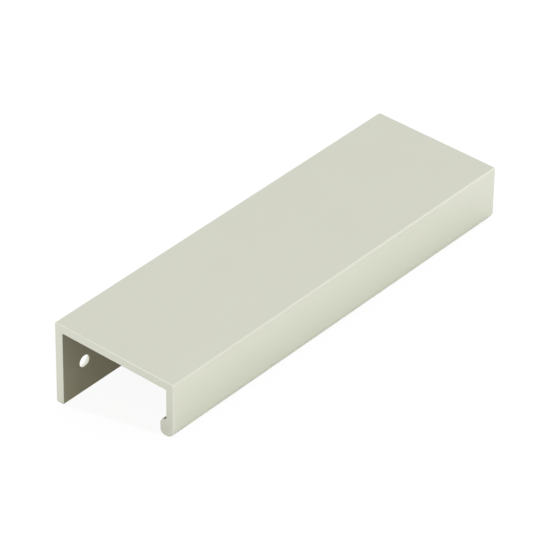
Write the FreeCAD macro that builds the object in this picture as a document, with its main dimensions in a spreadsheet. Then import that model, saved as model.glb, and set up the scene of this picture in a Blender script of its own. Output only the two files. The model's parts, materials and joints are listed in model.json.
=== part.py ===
import FreeCAD, Part
import math
import os

import Sketcher
from FreeCAD import Placement, Rotation, Vector

# Handleless finger pull: one length of extruded aluminium profile, in millimetres.
# The back leg screws to the rear of a door or drawer front, the top plate lies on
# the front's upper edge, and fingers reach behind the hanging lip and its bead.
# In the body's own frame X runs along the length, the rear face of the back leg is
# at Y = 0 with the lip towards -Y, and the back leg's foot is at Z = 0.

SIZES = [
    ("profile_length", 128, "sawn length"),
    ("profile_depth", 40, "rear face of the back leg to front face of the lip"),
    ("back_leg_height", 25, "top face to foot of the back leg"),
    ("lip_height", 16.8, "top face to lowest point of the lip"),
    ("wall_thickness", 2.5, "top plate, back leg and lip"),
    ("bead_width", 4.5, "lip and bead together"),
    ("bead_height", 5.4, "lowest point of the lip to the top of the bead's ledge"),
    ("ledge_angle", 28, "slope of the bead's ledge, degrees"),
    ("shoulder_radius", 1.8, "round between the ledge and the bead's inner side"),
    ("nose_front_radius", 2.6, "round under the lip's front face"),
    ("nose_inner_radius", 1.7, "round under the bead's inner side"),
    ("edge_radius", 0.5, "outer edges along the length"),
    ("inner_radius", 0.4, "inner corners under the top plate"),
    ("end_chamfer", 0.3, "deburred edges of the sawn ends"),
    ("hole_diameter", 3.5, "screw hole at the inner face of the back leg"),
    ("hole_land", 0.4, "straight length of the screw hole in front of the countersink"),
    ("countersink_angle", 90, "countersink in the rear face, degrees"),
    ("hole_end_distance", 8, "end of the profile to the screw hole's axis"),
    ("hole_drop", 15.5, "top face to the screw hole's axis"),
]

# a sketch numbers the points of a line or arc 1, 2 and 3, and its own axes -1 and -2,
# and its origin is the first point of the horizontal axis
START, END, CENTRE = range(1, 4)
HORIZONTAL_AXIS, VERTICAL_AXIS = range(-1, -3, -1)
ORIGIN = HORIZONTAL_AXIS
TOUCH = 1e-6


def size_sheet(doc):
    """Spreadsheet with one named size in each row."""
    sheet = doc.addObject("Spreadsheet::Sheet", "Sizes")
    for row, (alias, value, meaning) in enumerate(SIZES, start=1):
        sheet.set(f"A{row}", alias)
        sheet.set(f"B{row}", str(value))
        sheet.set(f"C{row}", meaning)
        sheet.setAlias(f"B{row}", alias)
    doc.recompute()
    return sheet


def origin_plane(body, role):
    return next(plane for plane in body.Origin.OriginFeatures if plane.Role == role)


def sketch_on(body, role, name):
    sketch = body.newObject("Sketcher::SketchObject", name)
    sketch.AttachmentSupport = [(origin_plane(body, role), "")]
    sketch.MapMode = "FlatFace"
    return sketch


def dimension(sketch, name, expression, kind, *items):
    """Named dimension whose value comes from the sheet."""
    index = sketch.addConstraint(Sketcher.Constraint(kind, *items))
    sketch.renameConstraint(index, name)
    sketch.setExpression(f"Constraints.{name}", expression)


def section_rounds(sheet):
    """Centres, radii and angles of the section's rounds, in order round the outline from the foot's rear edge.

    Each is (name, centre, radius, first angle, last angle). A round whose angle falls is a hollow corner.
    """
    edge, inner, shoulder = sheet.edge_radius, sheet.inner_radius, sheet.shoulder_radius
    wall, top, front = sheet.wall_thickness, sheet.back_leg_height, -sheet.profile_depth
    nose_front, nose_inner = sheet.nose_front_radius, sheet.nose_inner_radius
    bead_side = front + sheet.bead_width
    slope = math.radians(sheet.ledge_angle)
    lip_foot = top - sheet.lip_height
    # the shoulder's centre is one radius inside both the bead's inner side and the sloping ledge
    shoulder_y = bead_side - shoulder
    from_root = front + wall - shoulder_y
    shoulder_z = lip_foot + sheet.bead_height - (shoulder - from_root * math.sin(slope)) / math.cos(slope)
    return [
        ("foot_rear", (-edge, edge), edge, 270, 360),
        ("top_rear", (-edge, top - edge), edge, 0, 90),
        ("top_front", (front + edge, top - edge), edge, 90, 180),
        ("nose_front", (front + nose_front, lip_foot + nose_front), nose_front, 180, 270),
        ("nose_inner", (bead_side - nose_inner, lip_foot + nose_inner), nose_inner, 270, 360),
        ("shoulder", (shoulder_y, shoulder_z), shoulder, 0, 90 - sheet.ledge_angle),
        ("root", (front + wall, lip_foot + sheet.bead_height), 0, 0, 0),
        ("under_front", (front + wall + inner, top - wall - inner), inner, 180, 90),
        ("under_rear", (-wall - inner, top - wall - inner), inner, 90, 0),
        ("foot_inner", (edge - wall, edge), edge, 180, 270),
    ]


def add_round(sketch, centre, radius, first, last):
    """Arc in the sketch, with the numbers of the ends where the outline comes in and goes out."""
    low, high = sorted((math.radians(first), math.radians(last)))
    circle = Part.Circle(Vector(*centre, 0), Vector(0, 0, 1), radius)
    arc = sketch.addGeometry(Part.ArcOfCircle(circle, low, high), False)
    return (arc, START, END) if last > first else (arc, END, START)


def point_at(centre, radius, angle):
    turn = math.radians(angle)
    return Vector(centre[0] + radius * math.cos(turn), centre[1] + radius * math.sin(turn), 0)


def draw_section(sketch, sheet):
    """The closed outline: each straight run joins one round to the next, and is named after the two."""
    rounds = section_rounds(sheet)
    arcs = {}
    for name, centre, radius, first, last in rounds:
        if radius:
            arcs[name] = add_round(sketch, centre, radius, first, last)
    runs = {}
    for before, after in zip(rounds, rounds[1:] + rounds[:1]):
        ends = point_at(*before[1:3], before[4]), point_at(*after[1:3], after[3])
        runs[before[0], after[0]] = sketch.addGeometry(Part.LineSegment(*ends), False)
    for (before, after), run in runs.items():
        if before in arcs:
            arc, _, leave = arcs[before]
            sketch.addConstraint(Sketcher.Constraint("Tangent", arc, leave, run, START))
        if after in arcs:
            arc, enter, _ = arcs[after]
            sketch.addConstraint(Sketcher.Constraint("Tangent", run, END, arc, enter))
    return {name: arc[0] for name, arc in arcs.items()}, runs


def section_sketch(body, sheet):
    sketch = sketch_on(body, "YZ_Plane", "SectionSketch")
    arcs, runs = draw_section(sketch, sheet)
    rear = runs["foot_rear", "top_rear"]
    top = runs["top_rear", "top_front"]
    front = runs["top_front", "nose_front"]
    nose = runs["nose_front", "nose_inner"]
    bead_side = runs["nose_inner", "shoulder"]
    ledge = runs["shoulder", "root"]
    lip_inside = runs["root", "under_front"]
    underside = runs["under_front", "under_rear"]
    leg_inside = runs["under_rear", "foot_inner"]
    foot = runs["foot_inner", "foot_rear"]
    for run in (rear, front, bead_side, lip_inside, leg_inside):
        sketch.addConstraint(Sketcher.Constraint("Vertical", run))
    for run in (top, nose, underside, foot):
        sketch.addConstraint(Sketcher.Constraint("Horizontal", run))
    sketch.addConstraint(Sketcher.Constraint("Coincident", ledge, END, lip_inside, START))
    sketch.addConstraint(Sketcher.Constraint("PointOnObject", rear, START, VERTICAL_AXIS))
    sketch.addConstraint(Sketcher.Constraint("PointOnObject", foot, START, HORIZONTAL_AXIS))

    depth, height, wall = sheet.profile_depth, sheet.back_leg_height, sheet.wall_thickness
    root_drop = sheet.lip_height - sheet.bead_height
    slope = math.radians(180 - sheet.ledge_angle)
    dimension(sketch, "depth", "Sizes.profile_depth", "DistanceX", front, START, ORIGIN, START, depth)
    dimension(sketch, "height", "Sizes.back_leg_height", "DistanceY", ORIGIN, START, top, START, height)
    dimension(sketch, "leg_wall", "Sizes.wall_thickness", "DistanceX", leg_inside, START, ORIGIN, START, wall)
    dimension(sketch, "top_wall", "Sizes.wall_thickness", "DistanceY", underside, START, top, END, wall)
    dimension(sketch, "lip_wall", "Sizes.wall_thickness", "DistanceX", front, START, lip_inside, END, wall)
    dimension(sketch, "bead", "Sizes.bead_width", "DistanceX", front, END, bead_side, START, sheet.bead_width)
    dimension(sketch, "lip", "Sizes.lip_height", "DistanceY", nose, START, top, END, sheet.lip_height)
    dimension(sketch, "root_drop", "Sizes.lip_height - Sizes.bead_height",
              "DistanceY", lip_inside, START, top, END, root_drop)
    dimension(sketch, "ledge_slope", "180 - Sizes.ledge_angle", "Angle", ledge, slope)
    for corner in ("shoulder", "nose_front", "nose_inner"):
        dimension(sketch, corner, f"Sizes.{corner}_radius", "Radius", arcs[corner], sheet.get(f"{corner}_radius"))
    for corner in ("foot_rear", "top_rear", "top_front", "foot_inner"):
        dimension(sketch, corner, "Sizes.edge_radius", "Radius", arcs[corner], sheet.edge_radius)
    for corner in ("under_front", "under_rear"):
        dimension(sketch, corner, "Sizes.inner_radius", "Radius", arcs[corner], sheet.inner_radius)
    return sketch


def extrude_section(body, section):
    pad = body.newObject("PartDesign::Pad", "Extrusion")
    pad.Profile = section
    pad.SideType = "Symmetric"
    pad.setExpression("Length", "Sizes.profile_length")
    body.Document.recompute()
    return pad


def deburr_ends(body, pad):
    """Small chamfer on every edge of the two sawn ends."""
    ends = [
        f"Face{number}"
        for number, face in enumerate(pad.Shape.Faces, start=1)
        if abs(abs(face.normalAt(0, 0).x) - 1) < TOUCH
    ]
    chamfer = body.newObject("PartDesign::Chamfer", "EndDeburring")
    chamfer.Base = (pad, ends)
    chamfer.setExpression("Size", "Sizes.end_chamfer")
    body.Document.recompute()
    return chamfer


def hole_sketch(body, sheet):
    """A circle for each screw hole on the rear face, one near each end."""
    sketch = sketch_on(body, "XZ_Plane", "ScrewHoleSketch")
    reach = sheet.profile_length / 2 - sheet.hole_end_distance
    height = sheet.back_leg_height - sheet.hole_drop
    for side, name in ((-1, "left"), (1, "right")):
        circle = Part.Circle(Vector(side * reach, height, 0), Vector(0, 0, 1), sheet.hole_diameter / 2)
        hole = sketch.addGeometry(circle, False)
        across = (hole, CENTRE, ORIGIN, START) if side < 0 else (ORIGIN, START, hole, CENTRE)
        dimension(sketch, f"{name}_diameter", "Sizes.hole_diameter", "Diameter", hole, sheet.hole_diameter)
        dimension(sketch, f"{name}_reach", "Sizes.profile_length / 2 - Sizes.hole_end_distance",
                  "DistanceX", *across, reach)
        dimension(sketch, f"{name}_height", "Sizes.back_leg_height - Sizes.hole_drop",
                  "DistanceY", ORIGIN, START, hole, CENTRE, height)
    body.Document.recompute()
    return sketch


def drill_holes(body, sketch):
    """Countersunk screw holes from the rear face, only as deep as the back leg's wall."""
    hole = body.newObject("PartDesign::Hole", "ScrewHoles")
    hole.Profile = sketch
    body.Document.recompute()
    hole.Reversed = True
    hole.DepthType = "Dimension"
    hole.DrillPoint = "Flat"
    hole.HoleCutType = "Countersink"
    hole.HoleCutCustomValues = True
    hole.setExpression("Depth", "Sizes.wall_thickness")
    hole.setExpression("Diameter", "Sizes.hole_diameter")
    hole.setExpression("HoleCutCountersinkAngle", "Sizes.countersink_angle")
    hole.setExpression(
        "HoleCutDiameter",
        "Sizes.hole_diameter + 2 * (Sizes.wall_thickness - Sizes.hole_land) * tan(Sizes.countersink_angle / 2)",
    )
    body.Document.recompute()
    return hole


def resting_turn(sheet):
    """Degrees about the length that bring the foot's inner edge and the lip's nose down on one level floor."""
    centres = {name: (centre, radius) for name, centre, radius, _, _ in section_rounds(sheet)}
    (foot_y, foot_z), foot_radius = centres["foot_inner"]
    (nose_y, nose_z), nose_radius = centres["nose_front"]
    along, rise = foot_y - nose_y, nose_z - foot_z
    lean = math.asin((nose_radius - foot_radius) / math.hypot(along, rise))
    return math.degrees(math.atan2(rise, along) - lean)


def lay_on_floor(body, sheet):
    """Turn the body to how it lies unheld, with the origin under the middle of its box."""
    turn = Rotation(Vector(1, 0, 0), resting_turn(sheet))
    body.Placement = Placement(Vector(0, 0, 0), turn)
    body.Document.recompute()
    box = body.Shape.optimalBoundingBox(False, False)
    body.Placement = Placement(Vector(-box.Center.x, -box.Center.y, -box.ZMin), turn)
    body.Document.recompute()


def check(doc, body):
    for item in doc.Objects:
        faults = [state for state in item.State if state in ("Invalid", "Error")]
        if faults:
            raise RuntimeError(f"{item.Name} failed: {faults}")
        if item.isDerivedFrom("Sketcher::SketchObject") and not item.FullyConstrained:
            raise RuntimeError(f"{item.Name} is not fully constrained")
    if body.Shape.isNull() or not body.Shape.isValid() or len(body.Shape.Solids) != 1:
        raise RuntimeError("the profile is not one valid solid")


def main():
    doc = FreeCAD.newDocument("FingerPull")
    sheet = size_sheet(doc)
    body = doc.addObject("PartDesign::Body", "FingerPullProfile")
    body.Label = "finger_pull_profile"
    pad = extrude_section(body, section_sketch(body, sheet))
    deburred = deburr_ends(body, pad)
    uncut = deburred.Shape.Volume
    holes = drill_holes(body, hole_sketch(body, sheet))
    if holes.Shape.Volume >= uncut:
        raise RuntimeError("the screw holes cut nothing")
    lay_on_floor(body, sheet)
    check(doc, body)
    os.makedirs("parts", exist_ok=True)
    body.Shape.exportStep(f"parts/{body.Label}.step")
    box = body.Shape.optimalBoundingBox(False, False)
    print(f"{body.Label}: {box.XLength:.2f} x {box.YLength:.2f} x {box.ZLength:.2f} mm,",
          f"turned {resting_turn(sheet):.2f} degrees, {body.Shape.Volume:.0f} mm3")


main()
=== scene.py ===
# %% [markdown]
# # A handleless finger pull in satin aluminium
#
# The object is one short, sawn length of extruded aluminium profile. A long back leg is screwed
# behind a cupboard door, the top plate lies on the door's upper edge, and fingers reach under a
# hanging lip that ends in a round bead. The profile lies loose on the floor here, leaning a little
# forward on the foot of its leg and the nose of its lip.
#
# The imported model is loaded first. It is the fixed frame: what is made below is placed by it, and
# its box gives the profile's length.

# %% Load the frame
import json
import math

import bpy
from mathutils import Matrix, Vector


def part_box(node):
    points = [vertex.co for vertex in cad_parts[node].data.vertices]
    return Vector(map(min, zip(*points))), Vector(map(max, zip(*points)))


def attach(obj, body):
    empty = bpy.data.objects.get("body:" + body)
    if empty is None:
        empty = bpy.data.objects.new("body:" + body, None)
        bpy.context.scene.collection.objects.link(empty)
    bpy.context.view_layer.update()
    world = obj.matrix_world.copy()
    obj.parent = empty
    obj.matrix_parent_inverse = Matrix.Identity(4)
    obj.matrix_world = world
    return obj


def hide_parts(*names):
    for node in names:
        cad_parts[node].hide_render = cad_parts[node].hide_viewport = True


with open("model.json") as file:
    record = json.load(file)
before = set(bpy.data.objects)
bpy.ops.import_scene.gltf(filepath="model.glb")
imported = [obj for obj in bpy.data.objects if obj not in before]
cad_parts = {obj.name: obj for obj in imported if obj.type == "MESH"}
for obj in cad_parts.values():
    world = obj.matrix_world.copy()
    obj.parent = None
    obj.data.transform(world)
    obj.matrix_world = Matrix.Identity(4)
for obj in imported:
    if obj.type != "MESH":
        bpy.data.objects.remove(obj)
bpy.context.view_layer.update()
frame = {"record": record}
record = frame["record"]
CAD_NODE = "finger_pull_profile"
BODY = "root"

# %% [markdown]
# ## The section in numbers
#
# An extruded profile is a flat drawing pulled into a length, so a handful of sizes describes all
# of it. They are written in millimetres, as on a workshop drawing, and turned into Blender's
# metres once. The length and the screw holes are read from the frame.

# %% Sizes of the profile
MM = 0.001
DEPTH = 40 * MM
LEG_HEIGHT = 25 * MM
LIP_HEIGHT = 16.8 * MM
WALL = 2.5 * MM
BEAD_WIDTH = 4.5 * MM
BEAD_HEIGHT = 5.4 * MM
LEDGE_ANGLE = math.radians(28)
SHOULDER_RADIUS = 1.8 * MM
NOSE_FRONT_RADIUS = 2.6 * MM
NOSE_INNER_RADIUS = 1.7 * MM
EDGE_RADIUS = 0.5 * MM
INNER_RADIUS = 0.4 * MM
END_CHAMFER = 0.3 * MM
HOLE_LAND = 0.4 * MM
COUNTERSINK_ANGLE = math.radians(90)

mounts = {mount["name"]: mount for mount in record["mounts"]}
low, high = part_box(CAD_NODE)
LENGTH = high.x - low.x
HOLE_RADIUS = mounts["screw_holes"]["dims"]["hole_r_mm"] * MM
HOLE_COUNT = mounts["screw_holes"]["dims"]["count"]
HOLE_SPAN = mounts["screw_holes"]["dims"]["pcd_mm"] * MM
print("length", round(LENGTH / MM, 2), "mm, holes", round(HOLE_SPAN / MM, 2), "mm apart")

# %% [markdown]
# ## From the drawing to the floor
#
# The section is drawn upright, with the rear face of the back leg at Y = 0, its foot at Z = 0 and
# the lip towards -Y. The stored part leans forward. The mount on the inner face of the back leg
# says where that face is and which way it looks, which is enough to turn and shift the drawing.

# %% Resting place
face = mounts["back_leg_inner_face"]
lean = math.atan2(-face["axis"][2], -face["axis"][1])
turn = Matrix.Rotation(lean, 4, "X")
drawn_point = Vector((0, -WALL, LEG_HEIGHT / 2))
shift = Vector(face["pos_m"]) - turn @ drawn_point
resting = Matrix.Translation(shift) @ turn
hole_height = (resting.inverted() @ Vector(mounts["screw_holes"]["pos_m"])).z
print("leans", round(math.degrees(lean), 2), "degrees")
print("holes", round(hole_height / MM, 2), "mm above the foot")

# %% [markdown]
# ## Camera
#
# The photograph looks down on the near end from a long way off with a long lens, and it shows the
# top plate level. So the view is given in the upright drawing's axes, as a photographer would say
# it, and then leans with the profile. Its numbers were fitted to the corners of the object.

# %% Camera
VIEW_TARGET = Vector((-0.1376, -18.1163, 13.8317)) * MM
VIEW_AZIMUTH = math.radians(49.7645)
VIEW_ELEVATION = math.radians(35.7271)
VIEW_ROLL = math.radians(0.8348)
VIEW_DISTANCE = 1003.29 * MM
LENS_MM = 252.5895
SENSOR_MM = 36
NEAREST_SEEN = 50 * MM

camera_data = bpy.data.cameras.new("camera")
camera_data.lens = LENS_MM
camera_data.sensor_width = SENSOR_MM
camera_data.clip_start = NEAREST_SEEN
camera = bpy.data.objects.new("camera", camera_data)
bpy.context.scene.collection.objects.link(camera)
camera.matrix_world = (
    resting
    @ Matrix.Translation(VIEW_TARGET)
    @ Matrix.Rotation(-VIEW_AZIMUTH, 4, "Z")
    @ Matrix.Rotation(math.pi / 2 - VIEW_ELEVATION, 4, "X")
    @ Matrix.Rotation(VIEW_ROLL, 4, "Z")
    @ Matrix.Translation((0, 0, VIEW_DISTANCE))
)
bpy.context.scene.camera = camera
print("camera at", [round(value, 3) for value in camera.matrix_world.translation])

# %% [markdown]
# ## Writing nodes as Python
#
# Both the shape and the finish are node graphs. Nodes set one by one make long, dull code, so two
# small classes help. A Value is one socket, and plus, minus, times and so on with values add Math
# nodes. A Graph makes any other node from its type, its settings and what its sockets get.

# %% Node helpers
class Value:
    """An output socket of a graph. Arithmetic on it adds Math nodes."""

    def __init__(self, graph, socket):
        self.graph = graph
        self.socket = socket

    def math(self, operation, *operands):
        return self.graph.node("ShaderNodeMath", {"operation": operation}, dict(enumerate(operands)))

    def also(self, name):
        """Another output of the same node."""
        return Value(self.graph, self.socket.node.outputs[name])

    def __add__(self, other):
        return self.math("ADD", self, other)

    def __radd__(self, other):
        return self.math("ADD", other, self)

    def __sub__(self, other):
        return self.math("SUBTRACT", self, other)

    def __rsub__(self, other):
        return self.math("SUBTRACT", other, self)

    def __mul__(self, other):
        return self.math("MULTIPLY", self, other)

    def __rtruediv__(self, other):
        return self.math("DIVIDE", other, self)

    def __gt__(self, other):
        return self.math("GREATER_THAN", self, other)

    def __lt__(self, other):
        return self.math("LESS_THAN", self, other)

    def __abs__(self):
        return self.math("ABSOLUTE", self)

    def root(self):
        return self.math("SQRT", self)


class Graph:
    """A node tree that is being written."""

    def __init__(self, tree):
        self.tree = tree
        self.identifiers = {}

    def node(self, kind, settings=None, sockets=None, output=0):
        """A new node. Settings come first, then each socket gets a number, a link or a list of links."""
        node = self.tree.nodes.new(kind)
        for name, value in (settings or {}).items():
            setattr(node, name, value)
        for name, value in (sockets or {}).items():
            links = value if isinstance(value, list) else [value]
            for link in links:
                if isinstance(link, Value):
                    self.tree.links.new(link.socket, node.inputs[name])
                else:
                    node.inputs[name].default_value = link
        return Value(self, node.outputs[output]) if len(node.outputs) else node

    def input(self, name, kind):
        """A named input of a geometry tree."""
        item = self.tree.interface.new_socket(name, in_out="INPUT", socket_type=kind)
        self.identifiers[name] = item.identifier
        return self.node("NodeGroupInput", output=name)


print("helpers ready")

# %% [markdown]
# ## The section as a loop of corners
#
# The section is drawn with its sharp corners only, ten of them, and each corner carries the radius
# that it is rounded with and the number of steps in that round. The corner where the bead's ledge
# meets the lip stays sharp. This is how a die maker dimensions it, and a curve can then be
# filleted by those numbers.

# %% Corner loop
EDGE_STEPS = 8
NOSE_STEPS = 24
SHOULDER_STEPS = 14
INNER_STEPS = 6
SHARP_STEPS = 1

lip_foot = LEG_HEIGHT - LIP_HEIGHT
ledge_root = lip_foot + BEAD_HEIGHT
ledge_end = ledge_root - (BEAD_WIDTH - WALL) * math.tan(LEDGE_ANGLE)
under_plate = LEG_HEIGHT - WALL
CORNERS = [
    (0, 0, EDGE_RADIUS, EDGE_STEPS),
    (0, LEG_HEIGHT, EDGE_RADIUS, EDGE_STEPS),
    (-DEPTH, LEG_HEIGHT, EDGE_RADIUS, EDGE_STEPS),
    (-DEPTH, lip_foot, NOSE_FRONT_RADIUS, NOSE_STEPS),
    (-DEPTH + BEAD_WIDTH, lip_foot, NOSE_INNER_RADIUS, NOSE_STEPS),
    (-DEPTH + BEAD_WIDTH, ledge_end, SHOULDER_RADIUS, SHOULDER_STEPS),
    (-DEPTH + WALL, ledge_root, 0, SHARP_STEPS),
    (-DEPTH + WALL, under_plate, INNER_RADIUS, INNER_STEPS),
    (-WALL, under_plate, INNER_RADIUS, INNER_STEPS),
    (-WALL, 0, EDGE_RADIUS, EDGE_STEPS),
]

count = len(CORNERS)
loop = bpy.data.meshes.new("section_loop")
loop.from_pydata(
    [(across, height, 0) for across, height, _, _ in CORNERS],
    [(index, (index + 1) % count) for index in range(count)],
    [],
)
radii = loop.attributes.new("corner_radius", "FLOAT", "POINT")
radii.data.foreach_set("value", [radius for _, _, radius, _ in CORNERS])
steps = loop.attributes.new("corner_steps", "INT", "POINT")
steps.data.foreach_set("value", [step for _, _, _, step in CORNERS])
profile = bpy.data.objects.new("satin_finger_pull", loop)
bpy.context.scene.collection.objects.link(profile)
print("section loop with", count, "corners")

# %% [markdown]
# ## Extruding it with Geometry Nodes
#
# On the real part a press pushes hot metal through a die, a saw cuts the length, and a drill makes
# the holes. The node tree goes the same way. Its first half rounds the corners, fills the outline
# and extrudes it. Extruding leaves the first face open, so the same face, flipped, closes it.

# %% Extrusion nodes
MERGE = 0.0001 * MM
graph = Graph(bpy.data.node_groups.new("extruded_profile", "GeometryNodeTree"))
graph.tree.interface.new_socket("Geometry", in_out="OUTPUT", socket_type="NodeSocketGeometry")
section = graph.input("Geometry", "NodeSocketGeometry")
length = graph.input("Length", "NodeSocketFloat")


def named(name, kind):
    """Field of a named attribute."""
    return graph.node("GeometryNodeInputNamedAttribute", {"data_type": kind}, {"Name": name})


def along_z(distance):
    return graph.node("ShaderNodeCombineXYZ", sockets={"Z": distance})


def extrude(faces, distance):
    return graph.node(
        "GeometryNodeExtrudeMesh",
        {"mode": "FACES"},
        {"Mesh": faces, "Offset": along_z(distance), "Offset Scale": 1.0, "Individual": False},
    )


def closed(walls, first_face):
    """Walls and far face of an extrusion, closed by the first face turned over."""
    cap = graph.node("GeometryNodeFlipFaces", sockets={"Mesh": first_face})
    joined = graph.node("GeometryNodeJoinGeometry", sockets={"Geometry": [walls, cap]})
    return graph.node("GeometryNodeMergeByDistance", sockets={"Geometry": joined, "Distance": MERGE})


outline = graph.node("GeometryNodeMeshToCurve", sockets={"Mesh": section})
rounded = graph.node(
    "GeometryNodeFilletCurve",
    {"mode": "POLY"},
    {
        "Curve": outline,
        "Count": named("corner_steps", "INT"),
        "Radius": named("corner_radius", "FLOAT"),
        "Limit Radius": False,
    },
)
filled = graph.node("GeometryNodeFillCurve", {"mode": "NGONS"}, {"Curve": rounded})
end_face = graph.node("GeometryNodeMergeByDistance", sockets={"Geometry": filled, "Distance": MERGE})
bar = closed(extrude(end_face, length), end_face)
upright = graph.node(
    "GeometryNodeTransform",
    sockets={
        "Geometry": bar,
        "Translation": graph.node("ShaderNodeCombineXYZ", sockets={"X": length * -0.5}),
        "Rotation": (math.pi / 2, 0, math.pi / 2),
    },
)
print("extrusion nodes", len(graph.tree.nodes))

# %% [markdown]
# ## Screw holes
#
# The holes repeat, so one cutter is made and put on the points of a line, one point for each hole.
# A disc is extruded as the drill, then its far face is extruded once more and widened to the
# countersink's cone. The cutter starts in front of the back leg and ends behind it, and a Boolean
# takes it away. The Boolean also names the edges that it made, which are deburred later.

# %% Hole nodes
HOLE_SIDES = 72
CLEARANCE = 1 * MM
hole_radius = graph.input("Hole radius", "NodeSocketFloat")
hole_span = graph.input("Hole span", "NodeSocketFloat")
hole_count = graph.input("Hole count", "NodeSocketInt")
hole_level = graph.input("Hole height", "NodeSocketFloat")

sink_depth = WALL - HOLE_LAND + CLEARANCE
sink_growth = sink_depth * math.tan(COUNTERSINK_ANGLE / 2)
disc = graph.node(
    "GeometryNodeMeshCircle",
    {"fill_type": "NGON"},
    {"Vertices": HOLE_SIDES, "Radius": hole_radius},
)
drill = extrude(disc, CLEARANCE + HOLE_LAND)
sink = graph.node(
    "GeometryNodeExtrudeMesh",
    {"mode": "FACES"},
    {
        "Mesh": drill,
        "Selection": drill.also("Top"),
        "Offset": along_z(sink_depth),
        "Offset Scale": 1.0,
        "Individual": False,
    },
)
widened = graph.node(
    "GeometryNodeScaleElements",
    sockets={"Geometry": sink, "Selection": sink.also("Top"), "Scale": 1 + sink_growth / hole_radius},
)
cutter = closed(widened, disc)
places = graph.node(
    "GeometryNodeMeshLine",
    {"mode": "END_POINTS"},
    {
        "Count": hole_count,
        "Start Location": graph.node(
            "ShaderNodeCombineXYZ", sockets={"X": hole_span * -0.5, "Y": -WALL - CLEARANCE, "Z": hole_level}
        ),
        "Offset": graph.node(
            "ShaderNodeCombineXYZ", sockets={"X": hole_span * 0.5, "Y": -WALL - CLEARANCE, "Z": hole_level}
        ),
    },
)
cutters = graph.node(
    "GeometryNodeInstanceOnPoints",
    sockets={"Points": places, "Instance": cutter, "Rotation": (-math.pi / 2, 0, 0)},
)
drilled = graph.node(
    "GeometryNodeMeshBoolean",
    {"operation": "DIFFERENCE", "solver": "EXACT"},
    {"Mesh 1": upright, "Mesh 2": graph.node("GeometryNodeRealizeInstances", sockets={"Geometry": cutters})},
)
print("extrusion and hole nodes", len(graph.tree.nodes))

# %% [markdown]
# ## Edges to deburr, resting place and material
#
# Sawn and drilled edges are sharp, so they are broken with a small chamfer. The tree marks them
# with bevel weights: the full width on the two ends and a small share of it on the holes. Then it
# lays the profile on the floor, shades it smooth and ends in Realize Instances and Set Material.

# %% Last nodes of the tree
HOLE_EDGE_SHARE = 0.3
END_REACH = 0.01 * MM
finish_input = graph.input("Finish", "NodeSocketMaterial")
position = graph.node("GeometryNodeInputPosition")
from_middle = abs(graph.node("ShaderNodeSeparateXYZ", sockets={"Vector": position}, output="X"))
end_edges = from_middle > length * 0.5 - END_REACH
hole_edges = drilled.also("Intersecting Edges")
weight = end_edges.math("MAXIMUM", end_edges, hole_edges * HOLE_EDGE_SHARE)
marked = graph.node(
    "GeometryNodeStoreNamedAttribute",
    {"data_type": "FLOAT", "domain": "EDGE"},
    {"Geometry": drilled, "Name": "bevel_weight_edge", "Value": weight},
)
laid = graph.node(
    "GeometryNodeTransform",
    sockets={"Geometry": marked, "Translation": shift, "Rotation": (lean, 0, 0)},
)
smooth = graph.node("GeometryNodeSetShadeSmooth", sockets={"Geometry": laid, "Shade Smooth": True})
real = graph.node("GeometryNodeRealizeInstances", sockets={"Geometry": smooth})
finished = graph.node("GeometryNodeSetMaterial", sockets={"Geometry": real, "Material": finish_input})
graph.node("NodeGroupOutput", sockets={"Geometry": finished})
print("nodes in the tree", len(graph.tree.nodes))

# %% [markdown]
# ## Satin anodised finish: where a point lies
#
# Anodised aluminium is bare metal under a thin clear skin, so it is metallic, fairly rough and only a
# little coloured. Up close it shows how it was made, and each step of that left its marks somewhere
# else. So the shader first goes back to the upright drawing, in millimetres, and tells a sawn end, a
# drilled hole and an extruded face from each other. Both holes are one to it, because it folds the
# length in the middle.

# %% Finish: places
END_SKIN = 0.05
BORE_SKIN = 0.05

finish = bpy.data.materials.new("satin_anodised_aluminium")
finish.use_nodes = True
finish.node_tree.nodes.clear()
metal = Graph(finish.node_tree)
drawn = metal.node(
    "ShaderNodeMapping",
    {"vector_type": "TEXTURE"},
    {
        "Vector": metal.node("ShaderNodeTexCoord", output="Object"),
        "Location": shift,
        "Rotation": (lean, 0, 0),
        "Scale": (MM, MM, MM),
    },
)
parts = metal.node("ShaderNodeSeparateXYZ", sockets={"Vector": drawn})
out_along = abs(parts)
across = parts.also("Y")
height = parts.also("Z")

on_end = out_along > LENGTH / 2 / MM - END_SKIN
beside_axis = out_along - HOLE_SPAN / 2 / MM
above_axis = height - hole_height / MM
from_axis = (beside_axis * beside_axis + above_axis * above_axis).root()
sink_radius = HOLE_RADIUS + (WALL - HOLE_LAND) * math.tan(COUNTERSINK_ANGLE / 2)
in_hole = (from_axis < sink_radius / MM) * (across > -WALL / MM + BORE_SKIN)
on_extrusion = (1 - on_end) * (1 - in_hole)
print("finish: nodes that find a place", len(finish.node_tree.nodes))

# %% [markdown]
# ## Satin anodised finish: the marks
#
# Each mark is a noise that swings about zero. Blasting before the anodising bath left a fine even
# grain everywhere, and the bath itself left broad, faint clouds. The die drew faint lines along the
# length, so that noise is stretched a hundredfold that way. The saw left shallow arcs across the ends,
# which follow the distance from the middle of its blade. The countersink's cutter left rings, which
# follow the depth in the hole.

# %% Finish: marks
CLOUDS_PER_MM = 0.06
GRAIN_PER_MM = 2.5
DIE_LINES_PER_MM = 2.0
SAW_LINES_PER_MM = 2.2
RINGS_PER_MM = 5.0
DETAIL = 2
DIE_LINE_DETAIL = 3
NOISE_MIDDLE = 0.5
STRETCH = (0.01, 1, 1)
FLATTEN = (0, 1, 1)
BLADE_CENTRE = (0, -60, -120)


def noise(vector, per_mm, detail=DETAIL):
    """Noise in space, about zero."""
    sockets = {"Vector": vector, "Scale": per_mm, "Detail": detail}
    return metal.node("ShaderNodeTexNoise", sockets=sockets) - NOISE_MIDDLE


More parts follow.
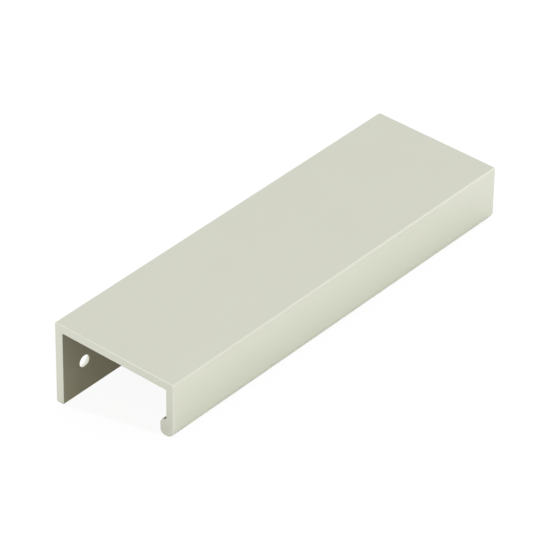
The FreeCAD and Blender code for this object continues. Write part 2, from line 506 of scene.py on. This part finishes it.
def bands(distance, per_mm):
    """Noise that changes along one distance only, about zero."""
    sockets = {"W": distance, "Scale": per_mm, "Detail": DETAIL}
    return metal.node("ShaderNodeTexNoise", {"noise_dimensions": "1D"}, sockets) - NOISE_MIDDLE


def vector_math(operation, first, second):
    return metal.node("ShaderNodeVectorMath", {"operation": operation}, {0: first, 1: second})


stretched = vector_math("MULTIPLY", drawn, STRETCH)
on_section = vector_math("MULTIPLY", drawn, FLATTEN)
from_blade = vector_math("DISTANCE", on_section, BLADE_CENTRE).also("Value")
clouds = noise(drawn, CLOUDS_PER_MM)
grain = noise(drawn, GRAIN_PER_MM)
die_lines = noise(stretched, DIE_LINES_PER_MM, DIE_LINE_DETAIL) * on_extrusion
saw_lines = bands(from_blade, SAW_LINES_PER_MM) * on_end
rings = bands(across, RINGS_PER_MM) * in_hole
print("finish: nodes with the marks", len(finish.node_tree.nodes))

# %% [markdown]
# ## Satin anodised finish: the metal
#
# The marks give a relief of a few thousandths of a millimetre and change the roughness a little. The
# anodised colour itself is even, pale and a trace warm and green. It drifts by about one part in a
# hundred over the length, as the bath leaves it. The sawn ends are a little rougher than the extruded
# faces, and the countersinks a little smoother. The sawn ends are also darker, partly as a duller cut
# face and partly as painted shade, standing in for less light on them.

# %% Finish: metal
TONE = (0.668, 0.677, 0.585)
CLOUD_SHADE = 0.03
DIE_LINE_SHADE = 0.02
# The ends are darkened partly as a duller sawn face and partly as painted shade.
END_DULLING_AND_PAINTED_SHADE = 0.08
ROUGHNESS = 0.42
GRAIN_ROUGHNESS = 0.04
DIE_LINE_ROUGHNESS = 0.06
SAW_LINE_ROUGHNESS = 0.08
END_ROUGHNESS = 0.03
HOLE_SMOOTHNESS = 0.06
GRAIN_HEIGHT_MM = 0.003
DIE_LINE_HEIGHT_MM = 0.004
SAW_LINE_HEIGHT_MM = 0.008
RING_HEIGHT_MM = 0.008

relief = (
    grain * GRAIN_HEIGHT_MM
    + die_lines * DIE_LINE_HEIGHT_MM
    + saw_lines * SAW_LINE_HEIGHT_MM
    + rings * RING_HEIGHT_MM
)
bump = metal.node("ShaderNodeBump", sockets={"Height": relief, "Distance": MM})
# The clouds and die lines are the metal's own tone; the darker ends are partly a duller cut and partly
# painted shade.
shade = 1 + clouds * CLOUD_SHADE + die_lines * DIE_LINE_SHADE - on_end * END_DULLING_AND_PAINTED_SHADE
tone = metal.node("ShaderNodeVectorMath", {"operation": "SCALE"}, {0: TONE, "Scale": shade})
roughness = (
    ROUGHNESS
    + grain * GRAIN_ROUGHNESS
    + die_lines * DIE_LINE_ROUGHNESS
    + saw_lines * SAW_LINE_ROUGHNESS
    + on_end * END_ROUGHNESS
    - in_hole * HOLE_SMOOTHNESS
)
shader = metal.node(
    "ShaderNodeBsdfPrincipled",
    sockets={"Base Color": tone, "Metallic": 1.0, "Roughness": roughness, "Normal": bump},
)
metal.node("ShaderNodeOutputMaterial", sockets={"Surface": shader})
print("finish: nodes in all", len(finish.node_tree.nodes))

# %% [markdown]
# ## Making the piece
#
# The tree's inputs are set by their identifiers before the object is evaluated for the first time.
# A Bevel modifier breaks the marked edges. The result is turned into a plain mesh, so that nothing
# is left to work out later. Weighted normals then keep the flat faces flat right up to their
# rounded edges.

# %% Evaluate the tree
DEBURR_STEPS = 3
SHARP_ANGLE = math.radians(40)


def plain_mesh(piece):
    """Turn what the modifiers give into the piece's own mesh and remove them."""
    seen = piece.evaluated_get(bpy.context.evaluated_depsgraph_get())
    mesh = bpy.data.meshes.new_from_object(seen)
    piece.modifiers.clear()
    piece.data = mesh
    mesh.name = piece.name


TREE_INPUTS = {
    "Length": LENGTH,
    "Hole radius": HOLE_RADIUS,
    "Hole span": HOLE_SPAN,
    "Hole count": HOLE_COUNT,
    "Hole height": hole_height,
    "Finish": finish,
}
extrusion = profile.modifiers.new("extruded_profile", "NODES")
extrusion.node_group = graph.tree
for name, value in TREE_INPUTS.items():
    extrusion[graph.identifiers[name]] = value
deburr = profile.modifiers.new("deburr", "BEVEL")
deburr.limit_method = "WEIGHT"
deburr.width = END_CHAMFER
deburr.segments = DEBURR_STEPS
deburr.use_clamp_overlap = False
plain_mesh(profile)
profile.data.set_sharp_from_angle(angle=SHARP_ANGLE)
normals = profile.modifiers.new("weighted_normals", "WEIGHTED_NORMAL")
normals.keep_sharp = True
plain_mesh(profile)
print("profile mesh:", len(profile.data.vertices), "points,", len(profile.data.polygons), "faces")

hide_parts(CAD_NODE)
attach(profile, BODY)

# %% [markdown]
# ## Floor
#
# The photograph has a pure white ground, so the floor is a large sheet of white paper. To the camera
# it is nearly all plain white, with a small share of its real shading, which keeps a faint shadow.
# The metal mirrors the lit paper, which is about as white, with its shadow and a trace of that plain
# white. Satin metal takes its shade from what lies around it, and the photograph's channel is darker
# and warmer inside than white paper makes it. So a patch of painted shade, a strip of brown on the
# paper, lies under the profile from the bead to the back leg and darkens and warms the channel. The
# metal sees a good share of it as one even, unlit tone of painted shade, because the light that falls
# in at the open ends would otherwise make it too bright there.

# %% Floor
FLOOR_SIZE = 6.0
PURE_WHITE = (1, 1, 1, 1)
PAPER_WHITE = (0.97, 0.97, 0.97, 1)
# The brown below is painted shade: a dark patch on the paper under the channel that darkens and warms what
# the metal mirrors inside it.
PAINTED_SHADE_BROWN = (0.42, 0.38, 0.31, 1)
SHADOW_SHARE = 0.06
MIRROR_SHARE = 0.04
# This extra share shows the painted shade patch to the metal as one even, unlit brown.
PAINTED_SHADE_SHARE = 0.26

half = FLOOR_SIZE / 2
floor_mesh = bpy.data.meshes.new("floor")
floor_mesh.from_pydata(
    [(-half, -half, 0), (half, -half, 0), (half, half, 0), (-half, half, 0)],
    [],
    [(0, 1, 2, 3)],
)
floor = bpy.data.objects.new("floor", floor_mesh)
bpy.context.scene.collection.objects.link(floor)
paper = bpy.data.materials.new("floor_paper_with_painted_shade")
paper.use_nodes = True
paper.node_tree.nodes.clear()
floor_mesh.materials.append(paper)
print("floor", FLOOR_SIZE, "m wide")

# %% Floor finish
# sockets of the Mix node for colours, which share their names with those for numbers
MIX_FACTOR, MIX_FIRST, MIX_SECOND = 0, 6, 7
MIXED_COLOUR = 2

# The painted shade patch reaches from under the bead to the back leg.
painted_shade_front = (resting @ Vector((0, -DEPTH + BEAD_WIDTH, lip_foot))).y
painted_shade_back = (resting @ Vector((0, -WALL, 0))).y

sheet = Graph(paper.node_tree)
floor_place = sheet.node("ShaderNodeTexCoord", output="Object")
place = sheet.node("ShaderNodeSeparateXYZ", sockets={"Vector": floor_place})
to_back = place.also("Y")
# Where the painted shade patch lies under the profile.
on_painted_shade = (abs(place) < LENGTH / 2) * (to_back > painted_shade_front) * (to_back < painted_shade_back)
ray = sheet.node("ShaderNodeLightPath", output="Is Camera Ray")
mirrored = ray.also("Is Glossy Ray") + ray.also("Is Transmission Ray")


def paper_or_painted_shade(painted_shade_amount, paper_colour):
    """The painted shade's brown for that share and the paper's colour for the rest."""
    sockets = {MIX_FACTOR: painted_shade_amount, MIX_FIRST: paper_colour, MIX_SECOND: PAINTED_SHADE_BROWN}
    return sheet.node("ShaderNodeMix", {"data_type": "RGBA"}, sockets, output=MIXED_COLOUR)


# The matt colour and the mirrored glow both turn brown on the painted shade patch.
matt = sheet.node("ShaderNodeBsdfDiffuse", sockets={"Color": paper_or_painted_shade(on_painted_shade, PAPER_WHITE)})
white_or_painted_shade_colour = paper_or_painted_shade(on_painted_shade * mirrored, PURE_WHITE)
plain = sheet.node("ShaderNodeEmission", sockets={"Color": white_or_painted_shade_colour, "Strength": 1.0})
mirror_and_painted_shade_share = MIRROR_SHARE + on_painted_shade * PAINTED_SHADE_SHARE
plain_share = ray * (1 - SHADOW_SHARE) + mirrored * mirror_and_painted_shade_share
mixed = sheet.node("ShaderNodeMixShader", sockets={0: plain_share, 1: matt, 2: plain})
sheet.node("ShaderNodeOutputMaterial", sockets={"Surface": mixed})
# This prints where the painted shade patch begins and ends.
print("card from", round(painted_shade_front / MM, 1), "to", round(painted_shade_back / MM, 1), "mm")

# %% [markdown]
# ## Light
#
# The world is plain and nearly white, and quite white to the camera, so the metal renders about in the
# tone that it was given. Three soft boxes add a little to that. The large one overhead lights the
# paper that the lip mirrors, and draws the long front edge as a light line. The left one does so for
# the near end, and the small one lifts the far end. They are wide and weak, because a satin face that
# mirrors a small, strong lamp burns out from some side.

# %% World and soft boxes
WORLD_STRENGTH = 0.956
world = bpy.data.worlds.new("white_surround")
world.use_nodes = True
world.node_tree.nodes.clear()
sky = Graph(world.node_tree)
sky_ray = sky.node("ShaderNodeLightPath", output="Is Camera Ray")
strength = WORLD_STRENGTH + sky_ray * (1 - WORLD_STRENGTH)
backdrop = sky.node("ShaderNodeBackground", sockets={"Color": PURE_WHITE, "Strength": strength})
sky.node("ShaderNodeOutputWorld", sockets={"Surface": backdrop})
bpy.context.scene.world = world

# direction from the object, distance and size in metres, power in watts
SOFT_BOXES = {
    "large_soft_box": ((-0.35, -0.45, 0.82), 1.2, 2.2, 7.1),
    "left_soft_box": ((-0.584, 0.374, 0.721), 0.9, 1.0, 0.4),
    "far_soft_box": ((0.85, -0.45, 0.35), 0.45, 0.3, 0.14),
}
for name, (direction, distance, size, power) in SOFT_BOXES.items():
    lamp_data = bpy.data.lights.new(name, "AREA")
    lamp_data.size = size
    lamp_data.energy = power
    lamp = bpy.data.objects.new(name, lamp_data)
    lamp.location = Vector(direction).normalized() * distance
    lamp.rotation_euler = Vector(direction).to_track_quat("Z", "Y").to_euler()
    bpy.context.scene.collection.objects.link(lamp)
    print(name, "at", [round(value, 2) for value in lamp.location])

bpy.context.scene.view_settings.view_transform = "Standard"
